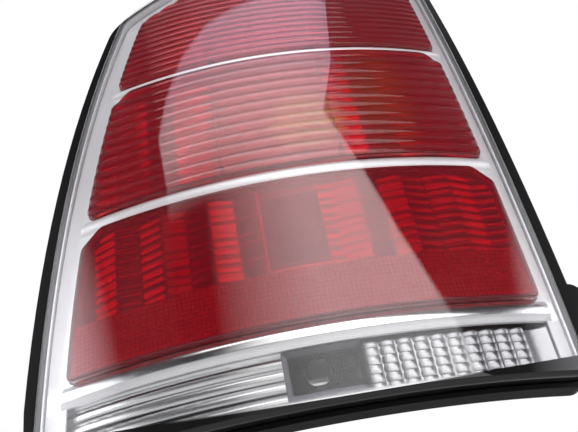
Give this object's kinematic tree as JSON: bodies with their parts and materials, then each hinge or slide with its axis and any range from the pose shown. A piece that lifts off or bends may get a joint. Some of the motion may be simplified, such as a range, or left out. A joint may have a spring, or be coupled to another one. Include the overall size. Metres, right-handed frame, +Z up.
{
  "type": "tail light cluster",
  "caption": "Left-hand car tail light cluster: clear wrap-round lens over stacked red tiers and a clear reversing tier, metallised bezel, black housing with studs at the back.",
  "frame": {"origin": "root of the main stud on the plane where the stud bosses meet the body panel", "axes": "+X to the right seen from behind the car, +Y along the studs into the car, +Z up"},
  "size_m": [0.3165, 0.144, 0.3939],
  "materials": {
    "black_plastic": "moulded black plastic, glossy rim",
    "foam": "closed-cell foam",
    "zinc_steel": "zinc plated",
    "black_rubber": "soft rubber",
    "clear_acrylic": "clear polished acrylic",
    "metallised_bezel": "satin vacuum metallised",
    "red_acrylic": "transparent red acrylic",
    "reflex_red": "red prism plate",
    "metallised_reflector": "bright vacuum metallised",
    "carrier_plastic": "pale moulded plastic",
    "contact_brass": "stamped brass",
    "bulb_glass": "clear bulb glass",
    "amber_bulb_glass": "amber bulb glass"
  },
  "bodies": {
    "root": {"housing": "black_plastic", "body_gasket": "foam", "mounting_studs": "zinc_steel", "reflector_screws": "zinc_steel", "breather_caps": "black_rubber", "lens_seal": "black_rubber", "outer_lens": "clear_acrylic", "bezel": "metallised_bezel", "top_red_lens": "red_acrylic", "middle_red_lens": "red_acrylic", "lower_red_lens": "red_acrylic", "reflex_reflector": "reflex_red", "reflector": "metallised_reflector", "reverse_reflector": "metallised_reflector", "bulb_carrier": "carrier_plastic", "carrier_seal": "foam", "earth_track": "contact_brass", "tail_track": "contact_brass", "indicator_track": "contact_brass", "stop_track": "contact_brass", "reverse_track": "contact_brass", "stop_bulb": "bulb_glass", "indicator_bulb": "amber_bulb_glass", "tail_bulb": "bulb_glass", "reverse_bulb": "bulb_glass"}
  },
  "joints": []
}
